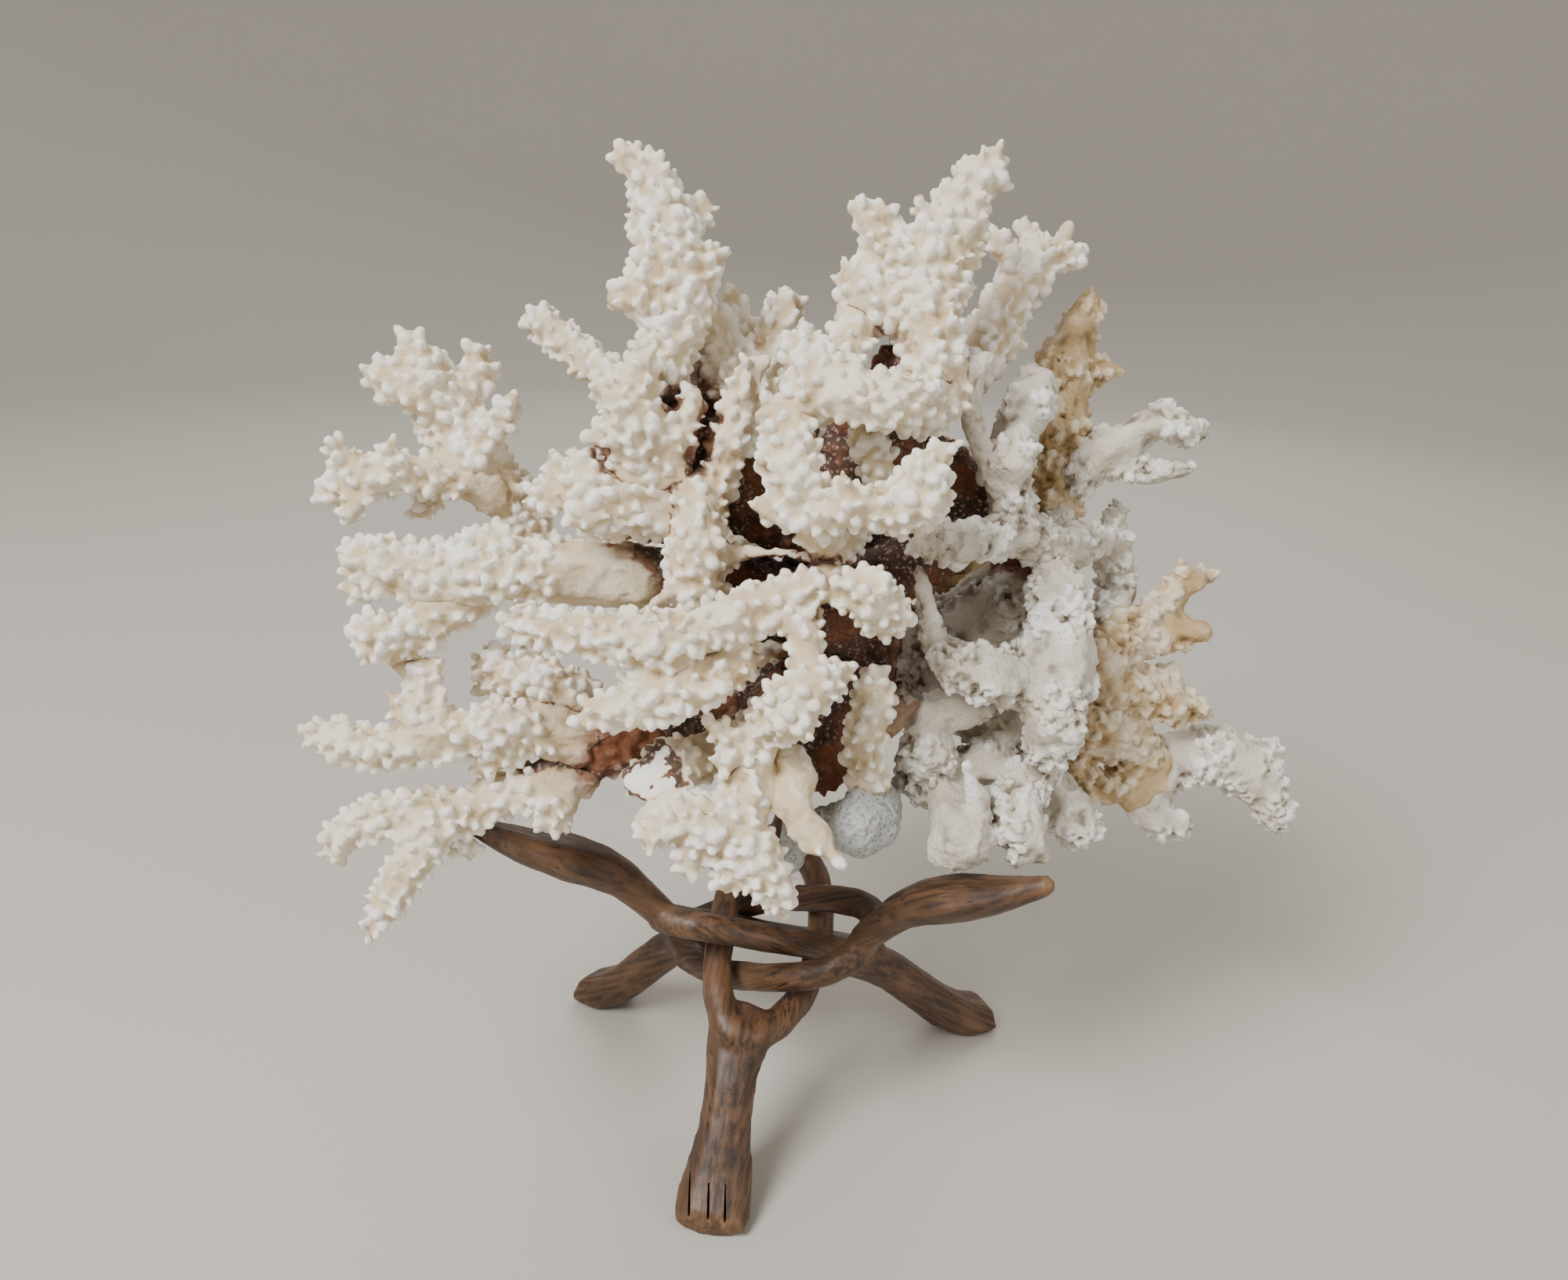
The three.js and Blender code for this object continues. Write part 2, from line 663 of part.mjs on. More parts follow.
// One lumpy limb of the coral, grown all round by a clearance where asked
function limbSolid(points, seed, grow) {
  const curve = new THREE.CatmullRomCurve3(points.map(([x, y, z]) => new THREE.Vector3(x, y, z)));
  const radii = points.map((point) => point[3]);
  const span = curve.getPoint(1).sub(curve.getPoint(0));
  const rings = Math.max(FEWEST_RINGS, Math.round(RINGS_PER_POINT * points.length) + 1);
  const section = (t) => {
    const radius = stationValue(radii, t) + grow;
    return [radius, radius];
  };
  const lump = (row, column) => 1 + LUMP * (lumpAt(row, column, seed) - 0.5) * 2;
  const sides = points.length > 2 ? LIMB_SIDES : KNOB_SIDES;
  return sweptSphere(curve, sides, rings, leastAxis(span), section, lump);
}

function branchSolid(name, grow = 0) {
  const limbs = BRANCHES[name].limbs.map((points, index) => limbSolid(points, name.length + index, grow));
  return unionOf(limbs);
}

// A foot or a head drawn along stations [along, aside, height, half width, half thickness]
function stationSolid(stations, grow) {
  const curve = new THREE.CatmullRomCurve3(stations.map(([s, w, z]) => new THREE.Vector3(s, w, z)));
  const widths = stations.map((station) => station[3]);
  const thicknesses = stations.map((station) => station[4]);
  const section = (t) => [stationValue(widths, t) + grow, stationValue(thicknesses, t) + grow];
  return sweptSphere(curve, LEG_SIDES, stations.length + 2, new THREE.Vector3(0, 1, 0), section);
}

// A sine or cosine pressed towards its ends, so that an ellipse fills out towards a rectangle
function filledOut(value, squareness) {
  return Math.sign(value) * Math.abs(value) ** squareness;
}

// One side of the slot: half a filled-out ellipse in the slot's tilted plane, left where hand is +1
function strandSolid(hand, forkSwing, grow) {
  const steps = 8;
  const points = Array.from({ length: steps + 1 }, (_, step) => {
    const angle = Math.PI * (1 - step / steps);
    const atHead = angle < Math.PI / 2;
    const length = atHead ? SLOT_HEAD_LENGTH : SLOT_FOOT_LENGTH;
    const squareness = atHead ? SLOT_HEAD_SQUARENESS : SLOT_FOOT_SQUARENESS;
    const s = SLOT_CENTRE + length * filledOut(Math.cos(angle), squareness);
    const aside = atHead ? 0 : forkSwing * Math.cos(angle) ** 2;
    const w = aside + hand * SLOT_HALF_WIDTH * filledOut(Math.sin(angle), squareness);
    return new THREE.Vector3(s, w, SLOT_PLANE_HEIGHT + SLOT_PLANE_RISE * s + SLOT_PLANE_LEAN * w);
  });
  const curve = new THREE.CatmullRomCurve3(points);
  const section = (t) => {
    const slender = Math.min(1, t / STRAND_FORK_SHARE);
    const radius = THREE.MathUtils.lerp(STRAND_FORK_RADIUS, STRAND_RADIUS, slender) + grow;
    return [radius, radius];
  };
  return sweptSphere(curve, LEG_SIDES, steps + 3, new THREE.Vector3(0, 0, 1), section);
}

// One leg along its own head direction: its fork and toe swing to the left as given
function legSolid({ reach, toeSwing, forkSwing }, grow = 0) {
  const foot = FOOT_STATIONS.map(([share, ...sizes]) => [
    -FORK_TO_AXIS - share * (reach - FORK_TO_AXIS),
    THREE.MathUtils.lerp(forkSwing, toeSwing, share),
    ...sizes,
  ]);
  const head = HEAD_STATIONS.map(([along, ...sizes]) => [along, 0, ...sizes]);
  const ground = new THREE.BoxGeometry(400, 400, 100).translate(0, 0, -50);
  const sawnOff = new THREE.BoxGeometry(100, 400, 400).translate(-reach - TOE_CUT - 50, 0, 0);
  const pieces = [
    stationSolid(foot, grow),
    strandSolid(1, forkSwing, grow),
    strandSolid(-1, forkSwing, grow),
    stationSolid(head, grow),
  ];
  const carved = unionOf(pieces).subtract(solidOf(ground)).subtract(solidOf(sawnOff));
  return carved.asOriginal().simplify(SEAM_TOLERANCE);
}

function addMesh(group, name, solid, finish) {
  const material = new THREE.MeshStandardMaterial({ metalness: 0, ...finish });
  const mesh = new THREE.Mesh(geometryOf(solid), material);
  mesh.name = name;
  group.add(mesh);
  return mesh;
}

// The stand: three legs turned to their azimuths
const object = new THREE.Group();
const standClearance = [];
for (const [name, shape] of Object.entries(LEGS)) {
  const mesh = addMesh(object, name, legSolid(shape), { color: WOOD_COLOUR, roughness: 0.4 });
  mesh.rotation.z = THREE.MathUtils.degToRad(shape.azimuth);
  standClearance.push(legSolid(shape, GAP).rotate([0, 0, shape.azimuth]));
}

// The colony: each branch is cut clear of the stand and of the branches before it
let taken = unionOf(standClearance);
for (const name of Object.keys(BRANCHES)) {
  const whole = branchSolid(name).asOriginal().simplify(FORK_TOLERANCE);
  const cut = largestBody(whole.subtract(taken));
  const solid = largestBody(cut.asOriginal().simplify(SEAM_TOLERANCE));
  addMesh(object, name, solid, FINISHES[BRANCHES[name].finish]);
  taken = taken.add(branchSolid(name, GAP));
}

// The origin is under the middle of the whole, at the soles
object.updateMatrixWorld(true);
const bounds = new THREE.Box3().setFromObject(object, true);
const middle = bounds.getCenter(new THREE.Vector3());
object.position.set(-middle.x, -middle.y, -bounds.min.z);

export default object;
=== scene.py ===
# %% [markdown]
# # A bleached coral on a folding stand
# One grown colony of a branching stony coral lies on three interlocked carved legs.
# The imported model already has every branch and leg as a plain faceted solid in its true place.
# So nothing is fitted here: each solid is copied, refined and dressed where it stands.

# %% Load the frame
import json
import math

import bpy
import numpy as np
from mathutils import Matrix, Vector, noise
from mathutils.bvhtree import BVHTree


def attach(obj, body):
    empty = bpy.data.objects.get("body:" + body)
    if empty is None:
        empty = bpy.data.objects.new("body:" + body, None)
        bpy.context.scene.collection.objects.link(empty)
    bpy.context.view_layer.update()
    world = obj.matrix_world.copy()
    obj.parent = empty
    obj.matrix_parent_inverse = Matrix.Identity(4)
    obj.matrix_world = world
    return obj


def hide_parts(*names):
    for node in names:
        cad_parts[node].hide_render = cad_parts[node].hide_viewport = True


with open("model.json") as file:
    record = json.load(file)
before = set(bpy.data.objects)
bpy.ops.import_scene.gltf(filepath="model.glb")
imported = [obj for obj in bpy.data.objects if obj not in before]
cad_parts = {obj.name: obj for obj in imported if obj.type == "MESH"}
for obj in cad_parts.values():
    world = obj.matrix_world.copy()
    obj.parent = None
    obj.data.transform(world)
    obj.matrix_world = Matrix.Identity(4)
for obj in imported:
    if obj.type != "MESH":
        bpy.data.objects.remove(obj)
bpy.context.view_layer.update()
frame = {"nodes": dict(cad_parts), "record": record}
MM = 0.001
slot_of = {row["node"]: row["material_slot"] for row in frame["record"]["subparts"]}
leg_nodes = [node for node, slot in slot_of.items() if slot == "wood"]
coral_nodes = [node for node in slot_of if node not in leg_nodes]

# %% [markdown]
# ## Camera, floor and light
# The camera stands where the perspective of the stand's feet and heads puts it: a little above the coral,
# looking down at it, close enough for strong perspective. It could be placed by eye,
# but a measured place lets every branch be compared with its own outline.
# Large soft lights keep the studio plain, with the main one from the upper left in front.

# %% Camera
STAND_AXIS = Vector((-9.69, -13.87, 0)) * MM
CAMERA_PLACE = STAND_AXIS + Vector((0.4, -281.4, 225)) * MM
CAMERA_PITCH = math.radians(19.7)
CAMERA_ROLL = math.radians(2.35)
FRAME_WIDTH_PX = 2000
FOCAL_LENGTH_PX = 1640
SENSOR_MM = 36
NEAREST_SEEN = 10 * MM

bpy.ops.object.select_all(action="DESELECT")
bpy.ops.object.camera_add()
camera = bpy.context.object
camera.data.sensor_width = SENSOR_MM
camera.data.lens = SENSOR_MM * FOCAL_LENGTH_PX / FRAME_WIDTH_PX
camera.data.clip_start = NEAREST_SEEN
level = Matrix.Rotation(math.pi / 2 - CAMERA_PITCH, 4, "X")
camera.matrix_world = Matrix.Translation(CAMERA_PLACE) @ level @ Matrix.Rotation(CAMERA_ROLL, 4, "Z")
bpy.context.scene.camera = camera
print("lens", round(camera.data.lens, 2), "mm")


# %% Colours are written as sRGB hex and turned to linear once
def linear(hex_colour, alpha=1.0):
    parts = [int(hex_colour[i:i + 2], 16) / 255 for i in (1, 3, 5)]
    return (*[c / 12.92 if c <= 0.04045 else ((c + 0.055) / 1.055) ** 2.4 for c in parts], alpha)


# %% One function adds a node with its settings and links
def add_node(tree, kind, settings=None, **sockets):
    node = tree.nodes.new(kind)
    for name, value in (settings or {}).items():
        setattr(node, name, value)
    for name, value in sockets.items():
        socket = node.inputs[int(name[1:]) if name[1:].isdigit() else name.replace("_", " ")]
        if isinstance(value, bpy.types.NodeSocket):
            tree.links.new(value, socket)
        else:
            socket.default_value = value
    return node


def new_material(name):
    material = bpy.data.materials.new(name)
    material.use_nodes = True
    return material, material.node_tree, material.node_tree.nodes["Principled BSDF"]


# %% Floor: a flat disc whose rim curves up all round into a low wall
FLOOR_RADIUS = 1.2
RIM_RADIUS = 0.6
RIM_STEPS = 10
WALL_HEIGHT = 0.7
FLOOR_SIDES = 96
FLOOR_TONES = ("#B9B4AB", "#BDB8AF")
FLOOR_CLOUD = 0.5
bpy.ops.mesh.primitive_circle_add(vertices=FLOOR_SIDES, radius=FLOOR_RADIUS, fill_type="NGON")
floor = bpy.context.object
floor.name = "studio_floor"
bpy.ops.object.mode_set(mode="EDIT")
bpy.ops.mesh.select_all(action="SELECT")
bpy.ops.mesh.region_to_loop()
radius, height = FLOOR_RADIUS, 0
for step in range(1, RIM_STEPS + 2):
    angle = min(step, RIM_STEPS) / RIM_STEPS * math.pi / 2
    next_radius = FLOOR_RADIUS + RIM_RADIUS * math.sin(angle)
    next_height = RIM_RADIUS * (1 - math.cos(angle)) + (WALL_HEIGHT if step > RIM_STEPS else 0)
    bpy.ops.mesh.extrude_edges_move(TRANSFORM_OT_translate={"value": (0, 0, next_height - height)})
    bpy.ops.transform.resize(value=(next_radius / radius, next_radius / radius, 1))
    radius, height = next_radius, next_height
bpy.ops.object.mode_set(mode="OBJECT")
bpy.ops.object.shade_smooth()
material, tree, shader = new_material("painted_board_matt")
shader.inputs["Roughness"].default_value = 0.9
clouds = add_node(tree, "ShaderNodeTexNoise", Scale=1 / FLOOR_CLOUD, Detail=2.0,
                  Vector=add_node(tree, "ShaderNodeTexCoord").outputs["Object"])
floor_tone = add_node(tree, "ShaderNodeMix", {"data_type": "RGBA"}, Factor=clouds.outputs["Fac"],
                      i6=linear(FLOOR_TONES[0]), i7=linear(FLOOR_TONES[1]))
tree.links.new(floor_tone.outputs[2], shader.inputs["Base Color"])
floor.data.materials.append(material)
print("floor", [round(side, 2) for side in floor.dimensions])

# %% Lights
LIGHTS = {
    "key": ((-0.6, -0.7, 0.95), 0.5, 22),
    "fill": ((0.75, -0.65, 0.5), 0.8, 4),
    "back": ((0.15, 0.9, 0.9), 0.9, 7),
}
LIGHT_AIM = STAND_AXIS + Vector((5, 0, 120)) * MM
for name, (place, size, power) in LIGHTS.items():
    bpy.ops.object.light_add(type="AREA", location=place)
    light = bpy.context.object
    light.name = name + "_light"
    light.data.size = size
    light.data.energy = power
    light.rotation_euler = (LIGHT_AIM - light.location).to_track_quat("-Z", "Y").to_euler()
WORLD_TONE = "#CFC9BF"
WORLD_STRENGTH = 0.6
world = bpy.data.worlds.new("studio")
bpy.context.scene.world = world
world.use_nodes = True
backdrop = world.node_tree.nodes["Background"]
backdrop.inputs["Color"].default_value = linear(WORLD_TONE)
backdrop.inputs["Strength"].default_value = WORLD_STRENGTH
print("lights:", *LIGHTS)

# %% [markdown]
# ## Helpers for shaping
# Blender's operators act on whatever is selected, so one helper makes a piece the only selected one,
# and another adds a modifier and applies it straight away. Two more read and write all points at once.


# %% Selection and modifiers
MERGE_REACH = 0.02 * MM


def select_only(piece):
    bpy.ops.object.select_all(action="DESELECT")
    piece.select_set(True)
    bpy.context.view_layer.objects.active = piece


def apply_modifier(piece, kind, **settings):
    select_only(piece)
    modifier = piece.modifiers.new(kind.lower(), kind)
    for name, value in settings.items():
        setattr(modifier, name, value)
    bpy.ops.object.modifier_apply(modifier=modifier.name)


def working_copy(node):
    """A copy of a solid with its loose triangles merged."""
    piece = bpy.data.objects.new(node + "_dressed", frame["nodes"][node].data.copy())
    bpy.context.collection.objects.link(piece)
    piece.data.materials.clear()
    select_only(piece)
    bpy.ops.object.mode_set(mode="EDIT")
    bpy.ops.mesh.select_all(action="SELECT")
    bpy.ops.mesh.remove_doubles(threshold=MERGE_REACH)
    bpy.ops.object.mode_set(mode="OBJECT")
    return piece


# %% Points in and out of a mesh
def points_of(piece, field="co"):
    source = piece.data.vertices if field == "co" else piece.data.vertex_normals
    values = np.empty(len(source) * 3, dtype=np.float32)
    source.foreach_get("co" if field == "co" else "vector", values)
    return values.reshape(-1, 3)


def move_points(piece, points):
    piece.data.vertices.foreach_set("co", np.ascontiguousarray(points, dtype=np.float32).ravel())
    piece.data.update()


def keep_attribute(piece, name, values):
    attribute = piece.data.attributes.new(name, "FLOAT", "POINT")
    attribute.data.foreach_set("value", np.asarray(values, dtype=np.float32))


def smooth_step(low, high, values):
    t = np.clip((np.asarray(values) - low) / (high - low), 0, 1)
    return t * t * (3 - 2 * t)


def tree_of(piece):
    return BVHTree.FromObject(piece, bpy.context.evaluated_depsgraph_get())


# %% [markdown]
# ## Cores of the branches
# A coral branch is a smooth stony rod under its knobs, and the forks run into each other without a seam.
# The solids have facets and stand about a millimetre apart. Sculpting would round them,
# but can't be repeated exactly, so each copy is remeshed in small voxels and smoothed.
# Then its points move along their normals:
# inwards on open flanks, to leave room for the knobs, and outwards where another branch is close,
# so that neighbours run into each other.

# %% Where every solid of the coral is
plain = {node: working_copy(node) for node in coral_nodes}
solid_points, solid_faces, solid_owner = [], [], []
for index, node in enumerate(coral_nodes):
    start = len(solid_points)
    solid_points += [vertex.co.copy() for vertex in plain[node].data.vertices]
    solid_faces += [[start + i for i in face.vertices] for face in plain[node].data.polygons]
    solid_owner += [index] * len(plain[node].data.polygons)
colony = BVHTree.FromPolygons(solid_points, solid_faces)
print("solids of the colony:", len(solid_faces), "faces")

# %% [markdown]
# ## The broken stub
# One branch at the front has snapped off and shows a flat white break with a rusty rim.
# A boolean with a block would cut it too, but bisecting by a plane and filling the hole takes one step.

# %% Snap the stub
STUB = "stub_cut"
BREAK_PLACE = STAND_AXIS + Vector((-26, -43, 109)) * MM
BREAK_FACING = Vector((-0.15, -0.85, 0.45)).normalized()
select_only(plain[STUB])
bpy.ops.object.mode_set(mode="EDIT")
bpy.ops.mesh.select_all(action="SELECT")
bpy.ops.mesh.bisect(plane_co=BREAK_PLACE, plane_no=BREAK_FACING, use_fill=True, clear_outer=True)
bpy.ops.object.mode_set(mode="OBJECT")


def break_depth(points):
    return (np.array(BREAK_PLACE) - points) @ np.array(BREAK_FACING)


print("broken stub:", len(plain[STUB].data.polygons), "faces")

# %% Cores
CORE_VOXEL = 1.1 * MM
BARE_NODES = ("lump_rest", "ball_grey", "rod_right", "trunk")
BARE_VOXEL = 0.7 * MM
GREY_NODE = "ball_grey"
SMOOTHING_ROUNDS = 5
BARE_ROUNDS = 18
GREY_ROUNDS = 80
JOIN_REACH = 2.6 * MM
JOIN_PUSH = 1.2 * MM
JOINED_SHARE = 0.4
FLANK_DROP = {
    "coral_bloom": 0.7 * MM,
    "coral_chalk": 0.2 * MM,
    "coral_ochre": 0.3 * MM,
    "coral_stained": 0.2 * MM,
}
DROP_SHARE = 0.1
THICKEST = 30 * MM
UNDER_SKIN = 0.05 * MM


def gap_to_others(place, index, reach):
    gaps = [hit[3] for hit in colony.find_nearest_range(place, reach) if solid_owner[hit[2]] != index]
    return min(gaps, default=reach)


def shape_core(node):
    core = plain[node]
    apply_modifier(core, "REMESH", mode="VOXEL", voxel_size=BARE_VOXEL if node in BARE_NODES else CORE_VOXEL)
    rounds = BARE_ROUNDS if node in BARE_NODES else SMOOTHING_ROUNDS
    apply_modifier(core, "SMOOTH", factor=0.5, iterations=GREY_ROUNDS if node == GREY_NODE else rounds)
    inside = tree_of(core)
    index = coral_nodes.index(node)
    points, normals = points_of(core), points_of(core, "normal")
    gaps, across = np.zeros(len(points)), np.zeros(len(points))
    for i, (point, normal) in enumerate(zip(points, normals)):
        place, outward = Vector(point), Vector(normal)
        gaps[i] = gap_to_others(place, index, JOIN_REACH)
        across[i] = inside.ray_cast(place - outward * UNDER_SKIN, -outward, THICKEST)[3] or THICKEST
    open_flank = smooth_step(JOINED_SHARE * JOIN_REACH, JOIN_REACH, gaps)
    drop = np.minimum(FLANK_DROP[slot_of[node]], DROP_SHARE * across)
    shifts = JOIN_PUSH * (1 - open_flank) - drop * open_flank
    move_points(core, points + normals * shifts[:, None])
    apply_modifier(core, "SMOOTH", factor=0.4, iterations=2)
    return core, open_flank, across


cores, open_flanks, thickness = {}, {}, {}
for node in coral_nodes:
    cores[node], open_flanks[node], thickness[node] = shape_core(node)
print("cores:", sum(len(core.data.vertices) for core in cores.values()), "points")

# %% [markdown]
# ## Knobs
# The living colony covered its branches in verrucae, blunt thumbs 2 to 3 mm high that lean towards the tips.
# They could be a displacement texture, but that can't lean or overhang. So one is modelled by hand
# from a small sphere, with a narrower root and a blunt head, and copied all over the cores.
# On the old side of the colony they are worn low and many are gone.

# %% One verruca, of radius 1, with its root below the surface
ROOT_WIDTH = 0.85
ROOT_DROP = 0.7
HEAD_WIDTH = 1.22
bpy.ops.object.select_all(action="DESELECT")
bpy.ops.mesh.primitive_uv_sphere_add(segments=8, ring_count=6, radius=1)
verruca = bpy.context.object
verruca.name = "verruca"
bpy.ops.object.mode_set(mode="EDIT")


def select_by_height(piece, low, high):
    bpy.ops.mesh.select_all(action="DESELECT")
    bpy.ops.object.mode_set(mode="OBJECT")
    for vertex in piece.data.vertices:
        vertex.select = low < vertex.co.z < high
    bpy.ops.object.mode_set(mode="EDIT")


select_by_height(verruca, -2, -0.1)
bpy.ops.transform.resize(value=(ROOT_WIDTH, ROOT_WIDTH, 1))
bpy.ops.transform.translate(value=(0, 0, -ROOT_DROP))
select_by_height(verruca, 0.3, 0.95)
bpy.ops.transform.resize(value=(HEAD_WIDTH, HEAD_WIDTH, 1))
bpy.ops.object.mode_set(mode="OBJECT")
verruca_points = points_of(verruca).copy()
verruca_faces = [list(face.vertices) for face in verruca.data.polygons]
bpy.data.objects.remove(verruca)
print("one verruca:", len(verruca_faces), "faces")

# %% Where knobs grow
HEART = STAND_AXIS + Vector((8, 2, 132)) * MM
HEART_REACH = (18 * MM, 58 * MM)
TRIES_PER_KNOB = 9
KNOBS = {
    "coral_bloom": {
        "spacing": (3.0, 2.5), "radius": (0.85, 1.35), "rise": (1.4, 2.8),
        "cover": 1.0, "bare_below": 3.6,
    },
    "coral_chalk": {
        "spacing": (3.8, 3.0), "radius": (1.0, 1.9), "rise": (0.7, 1.6),
        "cover": 0.54, "bare_below": 6.4,
    },
    "coral_ochre": {
        "spacing": (3.6, 2.9), "radius": (1.0, 1.7), "rise": (0.9, 1.9),
        "cover": 0.62, "bare_below": 3.6,
    },
    "coral_stained": {
        "spacing": (3.4, 3.0), "radius": (0.9, 1.4), "rise": (1.2, 2.4),
        "cover": 0.85, "bare_below": 3.6,
    },
}
SPACING_SPREAD = (0.85, 1.3)
SMOOTH_WITHIN = {"club_left": 63, "arm_low": 68, "claw_low": 74, "finger_drop": 61, "stub_cut": 48}
rng = np.random.default_rng(20)
neighbours = [(dx, dy, dz) for dx in (-1, 0, 1) for dy in (-1, 0, 1) for dz in (-1, 0, 1)]


def spread_points(core, spacing_of):
    """Points on a surface, no two nearer than their spacing."""
    mesh = core.data
    mesh.calc_loop_triangles()
    corners = np.empty(len(mesh.loop_triangles) * 3, dtype=np.int32)
    mesh.loop_triangles.foreach_get("vertices", corners)
    corners = corners.reshape(-1, 3)
    a, b, c = (points_of(core)[corners[:, k]] for k in range(3))
    areas = np.linalg.norm(np.cross(b - a, c - a), axis=1) / 2
    closest = spacing_of(1.0)
    count = int(TRIES_PER_KNOB * areas.sum() / closest ** 2)
    chosen = rng.choice(len(areas), size=count, p=areas / areas.sum())
    u, v = rng.random(count), rng.random(count)
    u, v = np.where(u + v > 1, 1 - u, u)[:, None], np.where(u + v > 1, 1 - v, v)[:, None]
    places = a[chosen] + u * (b - a)[chosen] + v * (c - a)[chosen]
    corner = corners[chosen, 0]
    growth = smooth_step(*HEART_REACH, np.linalg.norm(places - np.array(HEART), axis=1))
    spacings = spacing_of(growth) * rng.uniform(*SPACING_SPREAD, count)
    cells, kept = {}, []
    keys = np.floor(places / spacings.max()).astype(int).tolist()
    spots = places.tolist()
    for i, (x, y, z) in enumerate(keys):
        near = [k for side in neighbours for k in cells.get((x + side[0], y + side[1], z + side[2]), ())]
        if all(math.dist(spots[k], spots[i]) > spacings[i] for k in near):
            cells.setdefault((x, y, z), []).append(i)
            kept.append(i)
    return places[kept], corner[kept], growth[kept]


# %% Knobs on one branch
WEAR_PATCH = 9 * MM
LEAN = 0.55
UP_LEAN = 0.25
BURIED_SHARE = 0.12
CHANCE_SHARE = 0.35
GROWTH_SHARE = 0.65
OVAL_LEAST = 0.8
OVAL_SPAN = 0.4
BREAK_CLEARANCE = 2 * MM


def wear_at(place):
    return 0.5 + 0.5 * noise.noise(Vector(place) / WEAR_PATCH)


def between(ends, share):
    return ends[0] + share * (ends[1] - ends[0])


def knob_mesh(node):
    rule = KNOBS[slot_of[node]]
    sparse, dense = (s * MM for s in rule["spacing"])
    core = cores[node]
    places, corner, growth = spread_points(core, lambda g: sparse + (dense - sparse) * g)
    normals = points_of(core, "normal")[corner]
    bare = (open_flanks[node][corner] < 0.5) | (thickness[node][corner] < rule["bare_below"] * MM)
    bare |= np.linalg.norm(places - np.array(HEART), axis=1) < SMOOTH_WITHIN.get(node, 0) * MM
    if node == STUB:
        bare |= break_depth(places) < BREAK_CLEARANCE
    points, faces = [], []
    for place, normal, grown, is_bare in zip(places, normals, growth, bare):
        size, height, turn = rng.random(3)
        if is_bare or wear_at(place) > rule["cover"]:
            continue
        radius = between(rule["radius"], size) * MM
        rise = between(rule["rise"], CHANCE_SHARE * height + GROWTH_SHARE * grown) * MM
        outward = (Vector(place) - HEART).normalized() + Vector((0, 0, UP_LEAN))
        axis = (Vector(normal) + LEAN * outward).normalized()
        turned = axis.to_track_quat("Z", "Y").to_matrix() @ Matrix.Rotation(turn * math.tau, 3, "Z")
        sized = verruca_points * np.array((radius, radius * (OVAL_LEAST + OVAL_SPAN * height), rise))
        start = len(points) * len(verruca_points)
        points.append(sized @ np.array(turned).T + place - np.array(axis) * BURIED_SHARE * rise)
        faces += [[start + i for i in face] for face in verruca_faces]
    mesh = bpy.data.meshes.new(node + "_knobs")
    if points:
        mesh.from_pydata(np.concatenate(points), [], faces)
    return mesh, len(points)


# %% [markdown]
# ## The horn
# A smooth tapered horn, worn like a tooth, stands on one of the old lumps. It could be drawn out of the lump
# by proportional editing, but a cone that the remesh fuses with the lump keeps its taper.

# %% Horn on one of the old lumps
HORN_NODE = "lump_rest"
HORN_ROOT = STAND_AXIS + Vector((44, -29.5, 97)) * MM
HORN_TIP = STAND_AXIS + Vector((40.2, -30.5, 109.5)) * MM
HORN_ROOT_RADIUS = 2.6 * MM
HORN_TIP_RADIUS = 0.9 * MM
horn_run = HORN_TIP - HORN_ROOT
bpy.ops.object.select_all(action="DESELECT")
bpy.ops.mesh.primitive_cone_add(vertices=12, radius1=HORN_ROOT_RADIUS, radius2=HORN_TIP_RADIUS,
                                depth=horn_run.length, location=(HORN_ROOT + HORN_TIP) / 2,
                                rotation=horn_run.to_track_quat("Z", "Y").to_euler())
horn = bpy.context.object
bpy.ops.object.transform_apply(location=True, rotation=True, scale=True)
print("horn", [round(side / MM, 1) for side in horn.dimensions], "mm")

# %% [markdown]
# ## Knobs and core in one skin
# On the real coral a knob grows out of its branch without a seam. A boolean union of thousands of knobs
# is slow, so they are joined with the core and remeshed together in fine voxels,
# and Decimate then takes triangles away where the surface is plain.

# %% Grow the knobs out of their cores
FINE_VOXEL = {
    "coral_bloom": 0.55 * MM,
    "coral_chalk": 0.6 * MM,
    "coral_ochre": 0.62 * MM,
    "coral_stained": 0.8 * MM,
}
GREY_VOXEL = 0.42 * MM
KEPT_SHARE = {"coral_bloom": 0.62, "coral_chalk": 0.72, "coral_ochre": 0.72, "coral_stained": 0.7}
branches, core_trees, knob_count = {}, {}, 0
for node in coral_nodes:
    core_trees[node] = tree_of(cores[node])
    branch = bpy.data.objects.new(node + "_coral", cores[node].data.copy())
    bpy.context.collection.objects.link(branch)
    if node not in BARE_NODES:
        mesh, count = knob_mesh(node)
        knobs = bpy.data.objects.new(node + "_knobs", mesh)
        bpy.context.collection.objects.link(knobs)
        knob_count += count
        select_only(branch)
        knobs.select_set(True)
        bpy.ops.object.join()
    if node == HORN_NODE:
        select_only(branch)
        horn.select_set(True)
        bpy.ops.object.join()
    voxel = GREY_VOXEL if node == GREY_NODE else FINE_VOXEL[slot_of[node]]
    apply_modifier(branch, "REMESH", mode="VOXEL", voxel_size=voxel)
    apply_modifier(branch, "SMOOTH", factor=0.5, iterations=1)
    apply_modifier(branch, "DECIMATE", ratio=KEPT_SHARE[slot_of[node]])
    branches[node] = branch


def triangles_of(piece):
    piece.data.calc_loop_triangles()
    return len(piece.data.loop_triangles)


sizes_of_branches = [triangles_of(branch) for branch in branches.values()]
print(knob_count, "knobs;", sum(sizes_of_branches), "triangles, most in a branch", max(sizes_of_branches))

